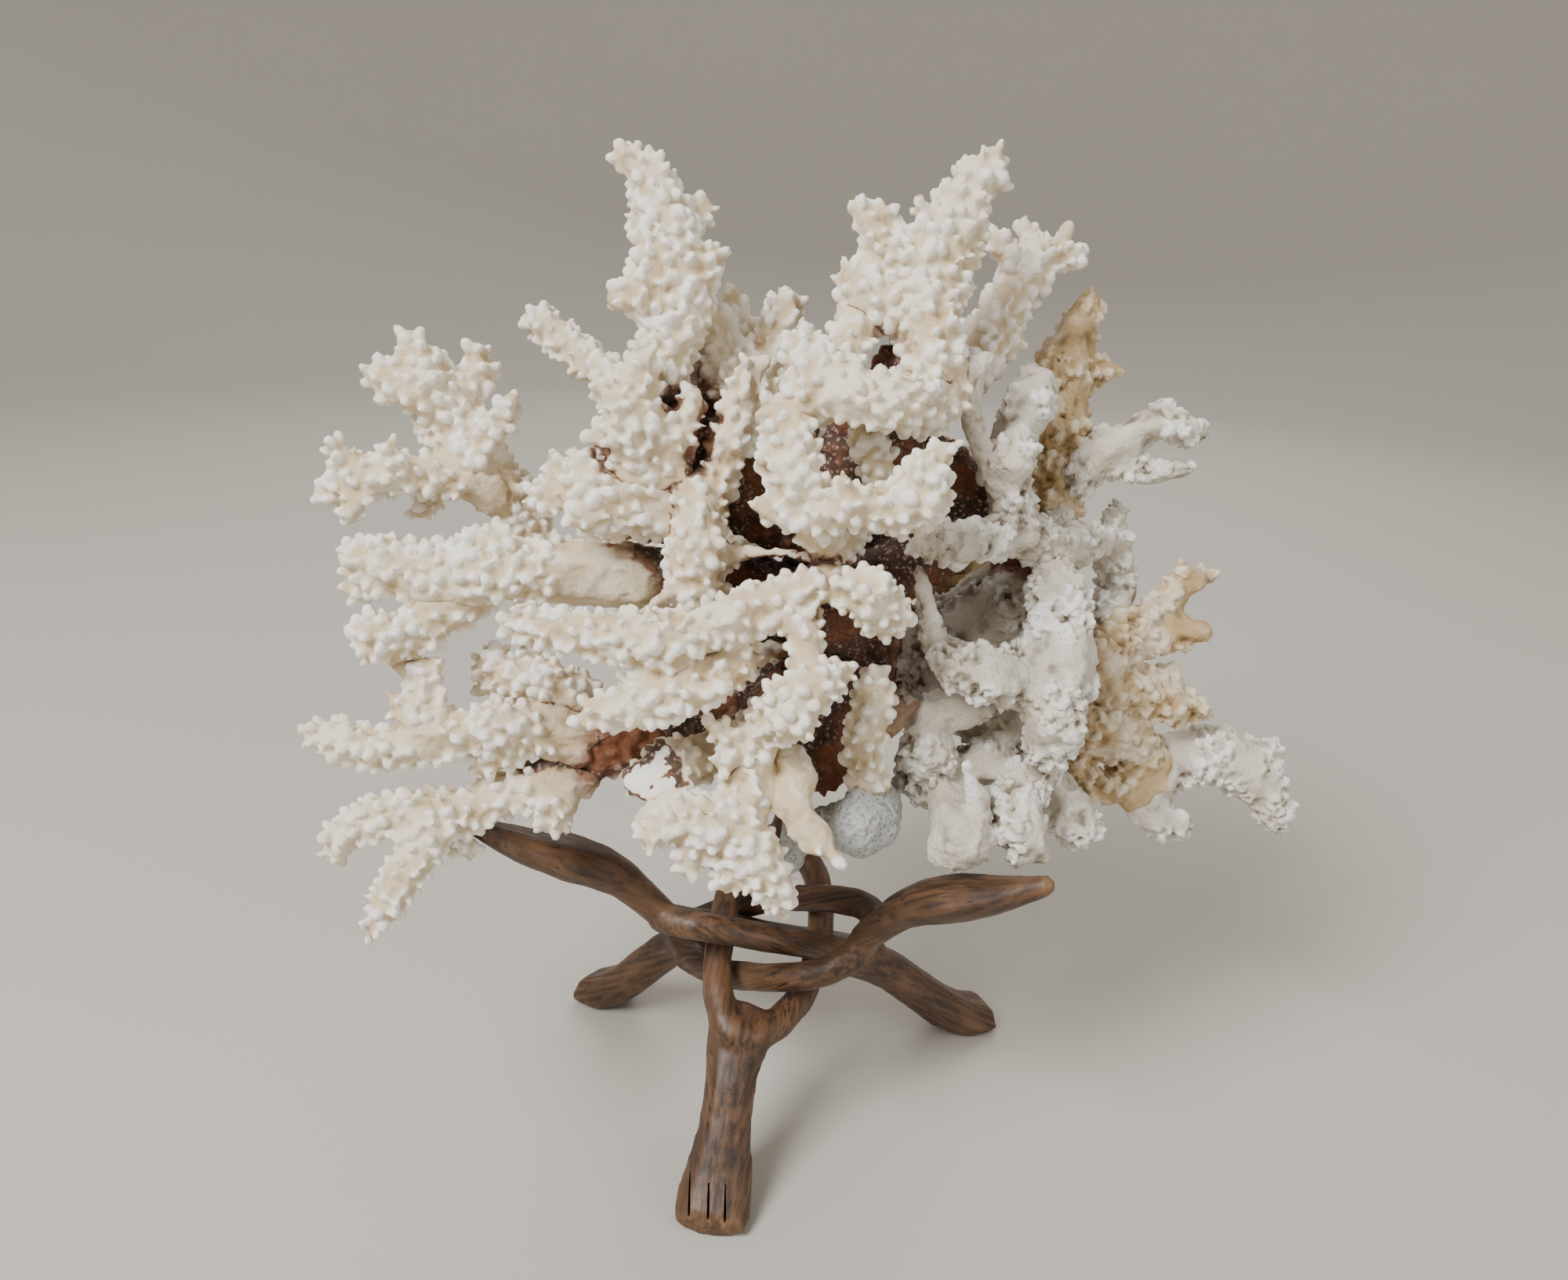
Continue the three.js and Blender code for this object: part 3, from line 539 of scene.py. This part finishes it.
# %% [markdown]
# ## Erosion
# The old side of the colony has lain dead for longer: its surface is worn into lumps and pits,
# crumbly in patches where knobs were and smooth as plaster between them.
# Procedural displacements do it, because sculpted dents can't be repeated and a bump alone would leave
# the outline smooth. A vertex group limits the crumbs to the patches.


# %% Textures of wear
def worn_texture(name, kind, size):
    texture = bpy.data.textures.new(name, kind)
    texture.noise_scale = size
    return texture


WORN_LUMPS = worn_texture("worn_lumps", "CLOUDS", 5 * MM)
WORN_PITS = worn_texture("worn_pits", "VORONOI", 2.4 * MM)
WORN_CRUMBS = worn_texture("worn_crumbs", "CLOUDS", 1.3 * MM)
EROSION = {
    "coral_chalk": (2.6, 1.6, 3.0),
    "coral_ochre": (2.6, 1.2, 2.2),
    "coral_stained": (2.0, 0.6, 0.8),
    "coral_bloom": (2.0, 0, 0.9),
}
BARE_EROSION = (1.6, 0.8, 1.2)
PATCH_LEVELS = 6
PATCH_EDGE = 0.06
POLYP_PITS = worn_texture("polyp_pits", "VORONOI", 1.5 * MM)
PIT_DEPTH = 0.8 * MM


# %% Wear the branches down
def crumbly_patches(branch, cover):
    """A vertex group that is full in crumbly patches and empty on smooth ones."""
    wear = np.array([wear_at(point) for point in points_of(branch)])
    crumbliness = 1 - smooth_step(cover - PATCH_EDGE, cover + PATCH_EDGE, wear)
    levels = np.round(PATCH_LEVELS * crumbliness).astype(int)
    group = branch.vertex_groups.new(name="crumbly")
    for level in range(1, PATCH_LEVELS + 1):
        group.add(np.flatnonzero(levels == level).tolist(), level / PATCH_LEVELS, "REPLACE")


for node, branch in branches.items():
    if node == GREY_NODE:
        apply_modifier(branch, "DISPLACE", texture=POLYP_PITS, texture_coords="LOCAL",
                       strength=PIT_DEPTH, mid_level=0.5)
        continue
    lumps, pits, crumbs = BARE_EROSION if node in BARE_NODES else EROSION[slot_of[node]]
    crumbly_patches(branch, KNOBS[slot_of[node]]["cover"])
    wear_steps = ((WORN_LUMPS, lumps, ""), (WORN_PITS, pits, "crumbly"), (WORN_CRUMBS, crumbs, "crumbly"))
    for texture, depth, patch in wear_steps:
        if depth:
            apply_modifier(branch, "DISPLACE", texture=texture, texture_coords="LOCAL", vertex_group=patch,
                           strength=depth * MM, mid_level=0.5)
    branch.vertex_groups.clear()
print("worn down:", len(branches), "branches")

# %% [markdown]
# ## What the colours follow
# Colour on the coral follows its growth and its shade: knob heads are bleached white, the valleys and pits
# between them are tan with painted shade, and sheltered places near the heart keep a red-brown stain that is
# darkened there with painted shade. Painting by hand would be one way,
# but these can be measured: height above the core, how much of the sky a place sees,
# and the distance to the boughs, with less stain on the open back.
# Each is kept as an attribute that the materials read.

# %% How sheltered each point of a core is, which sets its stain and its painted shade
SKY_RAYS = 10
SKY_REACH = 28 * MM
SKY_START = 2.2 * MM
turns = np.arange(SKY_RAYS) * math.pi * (3 - math.sqrt(5))
rises = (np.arange(SKY_RAYS) + 0.5) / SKY_RAYS
spreads = np.sqrt(1 - rises)
sky_rays = np.stack([spreads * np.cos(turns), spreads * np.sin(turns), np.sqrt(rises)], axis=1)


# The share of sky each point misses. It darkens the stain in sheltered places: partly real stain, partly
# painted shade.
def sky_blocked_for_stain_and_shade(core):
    shade_and_stain_shelter = np.zeros(len(core.data.vertices))
    for i, (point, normal) in enumerate(zip(points_of(core), points_of(core, "normal"))):
        outward = Vector(normal)
        place = Vector(point) + outward * SKY_START
        turned = outward.to_track_quat("Z", "Y").to_matrix()
        for ray in sky_rays:
            distance = colony.ray_cast(place, turned @ Vector(ray), SKY_REACH)[3]
            if distance is not None:
                shade_and_stain_shelter[i] += 1 - distance / SKY_REACH
    return shade_and_stain_shelter / SKY_RAYS


# %% Attributes of the branches
RELIEF_FULL = 2.2 * MM
STAIN_REACH = 16 * MM
BACK_BLEACHING = 0.5
BACK_FADE = 15 * MM
RIM_STAIN = 1.2
RIM_WIDTH = 3.2 * MM
RIM_FULL_SHARE = 0.6
BREAK_EDGE = 0.8 * MM
bough_indices = {i for i, node in enumerate(coral_nodes) if slot_of[node] == "coral_stained"}
bough_faces = [face for face, owner in zip(solid_faces, solid_owner) if owner in bough_indices]
boughs = BVHTree.FromPolygons(solid_points, bough_faces)


def stain_of(core):
    near = [boughs.find_nearest(Vector(point), STAIN_REACH)[3] for point in points_of(core)]
    stain = np.array([0 if distance is None else 1 - distance / STAIN_REACH for distance in near])
    behind = smooth_step(HEART.y, HEART.y + BACK_FADE, points_of(core)[:, 1])
    return stain * (1 - BACK_BLEACHING * behind)


def measure(node):
    branch, core, core_tree = branches[node], cores[node], core_trees[node]
    core_sky_shade_and_stain, core_stain = sky_blocked_for_stain_and_shade(core), stain_of(core)
    first_corner = np.array([face.vertices[0] for face in core.data.polygons])
    places = points_of(branch)
    relief, nearest = np.zeros(len(places)), np.zeros(len(places), dtype=int)
    for i, point in enumerate(places):
        place = Vector(point)
        hit, normal, nearest[i], distance = core_tree.find_nearest(place)
        relief[i] = distance if (place - hit).dot(normal) > 0 else -distance
    stain = core_stain[first_corner[nearest]]
    if node == STUB:
        depth = break_depth(places)
        relief[depth < BREAK_EDGE] = RELIEF_FULL
        stain += RIM_STAIN * (1 - smooth_step(RIM_FULL_SHARE * RIM_WIDTH, RIM_WIDTH, depth))
        stain[depth < BREAK_EDGE] = 0
    keep_attribute(branch, "relief", np.clip(relief / RELIEF_FULL, -1, 1.5))
    keep_attribute(branch, "shade_and_stain_shelter", core_sky_shade_and_stain[first_corner[nearest]])
    keep_attribute(branch, "stain", stain)


for node in coral_nodes:
    measure(node)
print("measured relief, shelter and stain")

# %% [markdown]
# ## Materials of the coral
# Coral skeleton is aragonite, a white calcium carbonate: matt and chalky, with an IOR near 1.55.
# Polyp cups about 1.2 mm apart pit its surface. Bleached knobs are nearly white.
# One recipe serves all finishes, with other colours and more or less stain,
# because on the real colony they run into each other too. Valleys, pits and cup bottoms get painted shade over
# their own tan, and sheltered stained places get painted shade over their stain.

# %% Coral finishes
CUP_SPACING = 1.2 * MM
MOTTLE_SIZE = 14 * MM
GRIT_SIZE = 1.3 * MM
CUP_RELIEF = 0.4 * MM
GRIT_RELIEF = 0.5 * MM
GRIT_TINT = 0.16
CORAL_ROUGHNESS = 0.85
ARAGONITE_IOR = 1.55
# The valley and pit tones are tan with painted shade for the low places between knobs; head, flank and mottle
# are the coral's own colours.
CORAL_FINISHES = {
    "coral_bloom": {
        "head": "#F8F5EF", "flank": "#F2ECE1", "valley_tan_and_shade": "#D3C1A1",
        "pit_and_shade": "#AC916B", "mottle": "#E9DFCC",
        "stain_and_shade_from": 1.0, "cup_depth": 0.25, "cup_tint": 0.1, "grit_depth": 0.35,
    },
    "coral_chalk": {
        "head": "#F5F3EF", "flank": "#EBE8E2", "valley_tan_and_shade": "#C9C1B3",
        "pit_and_shade": "#6E614F", "mottle": "#CFC5B4",
        "stain_and_shade_from": 1.3, "cup_depth": 0.4, "cup_tint": 0.15, "grit_depth": 0.9,
    },
    "coral_ochre": {
        "head": "#E7DCC6", "flank": "#D3C09F", "valley_tan_and_shade": "#B49A72",
        "pit_and_shade": "#7C6444", "mottle": "#DDD1BB",
        "stain_and_shade_from": 1.35, "cup_depth": 0.35, "cup_tint": 0.15, "grit_depth": 0.8,
    },
    "coral_stained": {
        "head": "#EFE7DA", "flank": "#D9C9B0", "valley_tan_and_shade": "#A98B70",
        "pit_and_shade": "#6B4636", "mottle": "#C4AC90",
        "stain_and_shade_from": 0.95, "cup_depth": 0.5, "cup_tint": 0.2, "grit_depth": 0.4,
    },
    "coral_grey": {
        "head": "#C6C9C8", "flank": "#BFC2C1", "valley_tan_and_shade": "#B4B6B4",
        "pit_and_shade": "#77777A", "mottle": "#B5B4AE",
        "stain_and_shade_from": 2.5, "cup_depth": 1.0, "cup_tint": 0.75, "grit_depth": 0.2,
    },
}
# Rust, pale dots and burnt patches are the stain's own colours. The dark and deep tones are the stain darkened
# with painted shade.
STAIN_RUST = "#7D4F3B"
STAIN_DEEP_WITH_SHADE = "#4D3630"
STAIN_DARK_WITH_SHADE = "#342627"
STAIN_DOTS = "#A39084"
STAIN_BURNT = "#6E4029"
# Weights of the stain level: shelter and low relief add painted shade as well as stain, and patches add real
# stain.
SHELTER_SHADE_AND_STAIN_WEIGHT = 0.9
PATCH_WEIGHT = 0.6
RELIEF_SHADE_AND_STAIN_WEIGHT = -0.3


def mix(tree, factor, first, second):
    node = add_node(tree, "ShaderNodeMix", {"data_type": "RGBA"}, Factor=factor, i6=first, i7=second)
    return node.outputs[2]


def ramp(tree, value, low, high):
    node = add_node(tree, "ShaderNodeMapRange", {"interpolation_type": "SMOOTHSTEP"}, Value=value)
    node.inputs["From Min"].default_value = low
    node.inputs["From Max"].default_value = high
    return node.outputs["Result"]


def coral_material(slot, finish):
    material, tree, shader = new_material(slot.replace("coral_", "aragonite_skeleton_"))
    where = add_node(tree, "ShaderNodeTexCoord").outputs["Object"]
    read = {name: add_node(tree, "ShaderNodeAttribute", {"attribute_name": name}).outputs["Fac"]
            for name in ("relief", "shade_and_stain_shelter", "stain")}
    cups = add_node(tree, "ShaderNodeTexVoronoi", {"feature": "F1"}, Vector=where,
                    Scale=1 / CUP_SPACING).outputs["Distance"]
    patches = add_node(tree, "ShaderNodeTexNoise", Vector=where, Scale=1 / MOTTLE_SIZE,
                       Detail=3.0).outputs["Fac"]
    grit = add_node(tree, "ShaderNodeTexNoise", Vector=where, Scale=1 / GRIT_SIZE,
                    Detail=4.0).outputs["Fac"]
    tone = {name: linear(finish[name]) for name in ("pit_and_shade", "valley_tan_and_shade", "flank", "head", "mottle")}
    # Low relief turns to the valley and pit tones: painted shade in the recesses over the coral's own tan.
    colour = mix(tree, ramp(tree, read["relief"], -0.35, -0.02), tone["pit_and_shade"], tone["valley_tan_and_shade"])
    colour = mix(tree, ramp(tree, read["relief"], 0.0, 0.45), colour, tone["flank"])
    colour = mix(tree, ramp(tree, read["relief"], 0.35, 0.95), colour, tone["head"])
    colour = mix(tree, ramp(tree, patches, 0.48, 0.68), colour, tone["mottle"])
    # Cup bottoms are tinted towards the pit tone: partly their own colour, partly painted shade.
    cup_tone_and_shade = mix(tree, finish["cup_tint"], colour, tone["pit_and_shade"])
    colour = mix(tree, ramp(tree, cups, 0.45, 0.15), colour, cup_tone_and_shade)
    stain_and_shade = read["stain"]
    # The stain level rises near the boughs, with shelter and in low places: real stain, plus painted shade in
    # recesses.
    weights = ((read["shade_and_stain_shelter"], SHELTER_SHADE_AND_STAIN_WEIGHT), (patches, PATCH_WEIGHT), (read["relief"], RELIEF_SHADE_AND_STAIN_WEIGHT))
    for value, weight in weights:
        stain_and_shade = add_node(tree, "ShaderNodeMath", {"operation": "MULTIPLY_ADD"}, i0=value, i1=weight,
                           i2=stain_and_shade).outputs[0]
    begins = finish["stain_and_shade_from"]
    # The darkest stain mix is the stain with painted shade on it, for the most sheltered places.
    stain = mix(tree, ramp(tree, grit, 0.4, 0.7), linear(STAIN_DARK_WITH_SHADE), linear(STAIN_DEEP_WITH_SHADE))
    stain = mix(tree, ramp(tree, cups, 0.42, 0.22), stain, linear(STAIN_DOTS))
    stain = mix(tree, ramp(tree, patches, 0.5, 0.62), stain, linear(STAIN_BURNT))
    colour = mix(tree, ramp(tree, stain_and_shade, begins, begins + 0.35), colour, linear(STAIN_RUST))
    colour = mix(tree, ramp(tree, stain_and_shade, begins + 0.15, begins + 0.55), colour, stain)
    colour = mix(tree, ramp(tree, grit, 0.3, 0.75), mix(tree, GRIT_TINT, colour, tone["valley_tan_and_shade"]), colour)
    tree.links.new(colour, shader.inputs["Base Color"])
    bump = add_node(tree, "ShaderNodeBump", Height=cups, Strength=finish["cup_depth"], Distance=CUP_RELIEF)
    rough = add_node(tree, "ShaderNodeBump", Height=grit, Strength=finish["grit_depth"], Distance=GRIT_RELIEF,
                     Normal=bump.outputs["Normal"])
    tree.links.new(rough.outputs["Normal"], shader.inputs["Normal"])
    shader.inputs["Roughness"].default_value = CORAL_ROUGHNESS
    shader.inputs["IOR"].default_value = ARAGONITE_IOR
    shader.inputs["Specular IOR Level"].default_value = 0.25
    return material


coral_materials = {slot: coral_material(slot, finish) for slot, finish in CORAL_FINISHES.items()}
print("finishes:", *[material.name for material in coral_materials.values()])

# %% Dress the branches
for node, branch in branches.items():
    branch.data.materials.clear()
    branch.data.materials.append(coral_materials["coral_grey" if node == GREY_NODE else slot_of[node]])
    select_only(branch)
    bpy.ops.object.shade_smooth()
    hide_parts(node)
    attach(branch, "root")
    bpy.data.objects.remove(cores[node])
print("dressed:", len(branches), "branches")

# %% [markdown]
# ## Legs
# Each leg is one piece of dark hardwood: a broad foot, a slot between two strands and a hooded head,
# carved with flat strokes and rubbed with varnish. The solid already has its shape, so the copy is remeshed,
# softened and given the shallow waves that a carver's knife leaves.
# The grain runs straight from toe to head as in the plank it was sawn from, so each point keeps
# its distance along and across that plank.

# %% Measures of a carved leg
LEG_VOXEL = 1.0 * MM
LEG_ROUNDS = 12
LEG_FULLNESS = 0.55 * MM
KNIFE_STROKE = 11 * MM
KNIFE_DEPTH = 0.8 * MM
GRAIN_RISE = math.radians(33)
LEG_HEAD_AZIMUTHS = {"leg_front": 82.8, "leg_back_left": -37.2, "leg_back_right": 202.8}
EDGE_ROUNDS = 5
EDGE_FULL = 0.6 * MM


def edge_of(piece):
    """How far each point stands proud of its smoothed neighbourhood, 1 on a sharp edge."""
    ends = np.empty(len(piece.data.edges) * 2, dtype=np.int32)
    piece.data.edges.foreach_get("vertices", ends)
    ends = ends.reshape(-1, 2)
    degree = np.bincount(ends.ravel(), minlength=len(piece.data.vertices))[:, None]
    points = points_of(piece).astype(np.float64)
    eased = points.copy()
    for _ in range(EDGE_ROUNDS):
        total = np.zeros_like(eased)
        np.add.at(total, ends[:, 0], eased[ends[:, 1]])
        np.add.at(total, ends[:, 1], eased[ends[:, 0]])
        eased = total / degree
    return np.einsum("ij,ij->i", points - eased, points_of(piece, "normal")) / EDGE_FULL


# %% [markdown]
# ## Drying cracks
# The front toe has split in three places where the plank dried from its sawn end.
# A crack could be painted on, but it has to show in the outline too, so a thin wedge
# that opens towards the end is cut out for each.

# %% Cracks in the front toe
CRACKED_LEG = "leg_front"
CRACK_WIDTH = 0.8 * MM
CRACK_DEPTH = 6 * MM
CRACKS = [((-16.2, -44), (-15.4, -58)), ((-11.9, -43), (-11.1, -58)), ((-8, -46), (-7.3, -58))]
CRACK_FLOOR = 4.5 * MM
MOUTH_HALF = 0.5 * CRACK_WIDTH
TIP_HALF = 0.1 * CRACK_WIDTH


def crack_toe(leg):
    for tip, mouth in CRACKS:
        bpy.ops.object.select_all(action="DESELECT")
        bpy.ops.mesh.primitive_cube_add(size=1)
        wedge = bpy.context.object
        start, end = (STAND_AXIS + Vector((*place, 0)) * MM for place in (tip, mouth))
        for vertex in wedge.data.vertices:
            at_end = vertex.co.y < 0
            middle, half = (end, MOUTH_HALF) if at_end else (start, TIP_HALF)
            height = CRACK_FLOOR + CRACK_DEPTH * (vertex.co.z + 0.5)
            vertex.co = middle + Vector((math.copysign(half, vertex.co.x), 0, height))
        apply_modifier(leg, "BOOLEAN", object=wedge, operation="DIFFERENCE", solver="EXACT")
        bpy.data.objects.remove(wedge)


# %% All three legs
carving_texture = worn_texture("knife_strokes", "CLOUDS", KNIFE_STROKE)
legs = {}
for node in leg_nodes:
    leg = working_copy(node)
    leg.name = node + "_carved"
    apply_modifier(leg, "REMESH", mode="VOXEL", voxel_size=LEG_VOXEL)
    apply_modifier(leg, "SMOOTH", factor=0.5, iterations=LEG_ROUNDS)
    apply_modifier(leg, "DISPLACE", strength=LEG_FULLNESS, mid_level=0)
    apply_modifier(leg, "DISPLACE", texture=carving_texture, texture_coords="LOCAL",
                   strength=KNIFE_DEPTH, mid_level=0.5)
    points = points_of(leg)
    points[:, 2] = np.maximum(points[:, 2], 0)
    move_points(leg, points)
    if node == CRACKED_LEG:
        crack_toe(leg)
    turn = math.radians(LEG_HEAD_AZIMUTHS[node])
    level_run = math.cos(GRAIN_RISE)
    along = Vector((math.cos(turn) * level_run, math.sin(turn) * level_run, math.sin(GRAIN_RISE)))
    across = Vector((-math.sin(turn), math.cos(turn), 0))
    plank = np.array([along, across, along.cross(across)])
    grain = leg.data.attributes.new("grain", "FLOAT_VECTOR", "POINT")
    grain.data.foreach_set("vector", np.ascontiguousarray(points_of(leg) @ plank.T, dtype=np.float32).ravel())
    keep_attribute(leg, "edge", edge_of(leg))
    legs[node] = leg
print("legs:", sum(len(leg.data.polygons) for leg in legs.values()) * 2, "triangles")

# %% [markdown]
# ## Wood
# Dark stained hardwood such as sheesham, hand-carved and varnished: close dark and light streaks a millimetre
# or two apart along the grain, worn lighter on edges that hands touch, under a satin coat.

# %% Carved hardwood
GRAIN_STRETCH = 20
STREAK_WIDTH = 1.3 * MM
BAND_WIDTH = 6 * MM
PORE_WIDTH = 0.5 * MM
HANDLED_PATCH = 16 * MM
STREAK_RELIEF = 0.3 * MM
SHARP_EDGE = math.radians(50)
WOOD_TONES = {"dark": "#322115", "light": "#66472E", "band": "#2C1D12", "pore": "#1A0E08", "handled": "#7C5A3C",
              "edge": "#80603F"}
material, tree, shader = new_material("sheesham_carved_varnished")
plank_place = add_node(tree, "ShaderNodeAttribute", {"attribute_name": "grain"}).outputs["Vector"]
stretched = add_node(tree, "ShaderNodeMapping", Vector=plank_place,
                     Scale=(1 / GRAIN_STRETCH, 1, 1)).outputs["Vector"]
streaks = add_node(tree, "ShaderNodeTexNoise", Vector=stretched, Scale=1 / STREAK_WIDTH, Detail=5.0,
                   Distortion=0.3).outputs["Fac"]
bands = add_node(tree, "ShaderNodeTexNoise", Vector=stretched, Scale=1 / BAND_WIDTH, Detail=2.0).outputs["Fac"]
pores = add_node(tree, "ShaderNodeTexNoise", Vector=stretched, Scale=1 / PORE_WIDTH, Detail=1.0).outputs["Fac"]
handling = add_node(tree, "ShaderNodeTexNoise", Vector=plank_place, Scale=1 / HANDLED_PATCH,
                    Detail=3.0).outputs["Fac"]
edge = add_node(tree, "ShaderNodeAttribute", {"attribute_name": "edge"}).outputs["Fac"]
tone = {name: linear(hex_colour) for name, hex_colour in WOOD_TONES.items()}
wood = mix(tree, ramp(tree, streaks, 0.32, 0.66), tone["dark"], tone["light"])
wood = mix(tree, ramp(tree, bands, 0.38, 0.62), mix(tree, 0.4, wood, tone["band"]), wood)
wood = mix(tree, ramp(tree, pores, 0.62, 0.72), wood, tone["pore"])
wood = mix(tree, ramp(tree, handling, 0.48, 0.7), wood, mix(tree, 0.35, wood, tone["handled"]))
wood = mix(tree, ramp(tree, edge, 0.7, 1.5), wood, tone["edge"])
tree.links.new(wood, shader.inputs["Base Color"])
bump = add_node(tree, "ShaderNodeBump", Height=streaks, Strength=0.4, Distance=STREAK_RELIEF)
tree.links.new(bump.outputs["Normal"], shader.inputs["Normal"])
tree.links.new(add_node(tree, "ShaderNodeMapRange", Value=streaks, i3=0.62, i4=0.44).outputs["Result"],
               shader.inputs["Roughness"])
shader.inputs["IOR"].default_value = 1.5
shader.inputs["Coat Weight"].default_value = 0.06
shader.inputs["Coat Roughness"].default_value = 0.35
for node, leg in legs.items():
    leg.data.materials.append(material)
    select_only(leg)
    bpy.ops.object.shade_smooth_by_angle(angle=SHARP_EDGE)
    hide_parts(node)
    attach(leg, "root")
